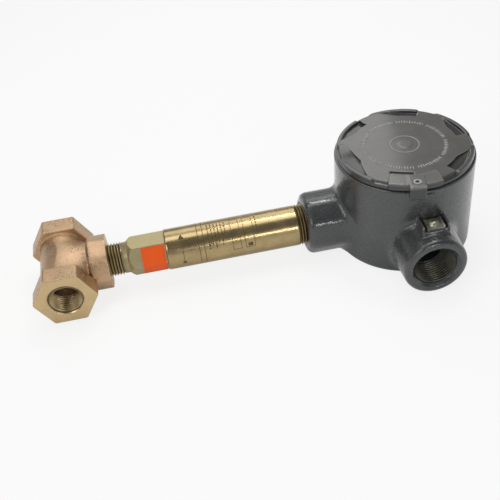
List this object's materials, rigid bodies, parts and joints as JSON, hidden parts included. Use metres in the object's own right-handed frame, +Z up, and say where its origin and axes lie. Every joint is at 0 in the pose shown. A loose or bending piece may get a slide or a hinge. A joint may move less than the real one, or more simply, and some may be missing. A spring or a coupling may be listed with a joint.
{
  "type": "flow switch",
  "caption": "Vane-operated flow switch: bronze pipe tee, brass switch body with magnetic coupling, and cast junction box with screwed cover and conduit hub.",
  "frame": {"origin": "centre of the tee's inlet mouth", "axes": "+X from the tee along the switch body to the junction box, +Y along the flow from the inlet mouth to the outlet mouth, +Z up out of the cover"},
  "size_m": [0.2894, 0.1095, 0.0705],
  "materials": {
    "cast_bronze": "sand-cast, machined at the end faces",
    "dull_brass": "dull machined",
    "bright_brass": "bright with etched marks",
    "orange_label": "printed film, bare",
    "seal_rubber": "moulded",
    "stainless": "mill",
    "magnet": "ground",
    "switch_plastic": "moulded",
    "plunger_plastic": "moulded",
    "lead_insulation": "smooth",
    "potting": "cast",
    "box_enamel": "glossy hammered enamel",
    "cover_enamel": "satin enamel",
    "black_steel": "blackened",
    "plated_steel": "zinc-plated",
    "green_steel": "green-passivated"
  },
  "bodies": {
    "housing": {"tee": "cast_bronze", "lower_body": "dull_brass", "body_label": "orange_label", "upper_body": "dull_brass", "nameplate_sleeve": "bright_brass", "body_seal": "seal_rubber", "pivot_yoke": "dull_brass", "vane_pin": "stainless", "return_spring": "stainless", "switch_bracket": "stainless", "lever_pin": "stainless", "snap_switch": "switch_plastic", "switch_terminals": "bright_brass", "switch_screws": "stainless", "switch_nuts": "stainless", "switch_leads": "lead_insulation", "lead_seal": "potting", "junction_box": "box_enamel", "ground_screw": "plated_steel", "ground_clamp": "plated_steel", "inner_ground_screw": "green_steel"},
    "vane_assembly": {"vane": "stainless", "vane_arm": "stainless", "vane_screws": "stainless", "vane_magnet": "magnet"},
    "lever_assembly": {"switch_lever": "stainless", "switch_magnet": "magnet"},
    "plunger": {"switch_plunger": "plunger_plastic"},
    "seal_ring": {"cover_o_ring": "seal_rubber"},
    "cover_assembly": {"cover": "cover_enamel", "cover_lock_screw": "black_steel"}
  },
  "joints": [
    {"name": "vane_swing", "type": "hinge", "parent": "housing", "child": "vane_assembly", "pos_m": [0.042, 0.03, 0], "axis": [0, 0, -1], "range_deg": [0, 10], "stiffness_Nm_per_rad": 0.02, "springref_deg": -5.73, "deforming": ["return_spring"]},
    {"name": "lever_tilt", "type": "hinge", "parent": "housing", "child": "lever_assembly", "pos_m": [0.084, 0.0257, 0], "axis": [0, 0, 1], "range_deg": [0, 4]},
    {"name": "plunger_press", "type": "slide", "parent": "housing", "child": "plunger", "axis": [0, 1, 0], "range_m": [0, 0.00084]},
    {"name": "cover_turn", "type": "hinge", "parent": "seal_ring", "child": "cover_assembly", "pos_m": [0.2247, 0.03, 0.0436], "axis": [0, 0, 1], "range_deg": [0, 1620]},
    {"name": "cover_lift", "type": "slide", "parent": "housing", "child": "seal_ring", "axis": [0, 0, 1], "range_m": [0, 0.01429]}
  ],
  "couplings": [
    {"joint": "lever_tilt", "follows": "vane_swing", "ratio": 0.4},
    {"joint": "plunger_press", "follows": "vane_swing", "m_per_rad": 0.0048128},
    {"joint": "cover_lift", "follows": "cover_turn", "m_per_rad": 0.00050532}
  ]
}
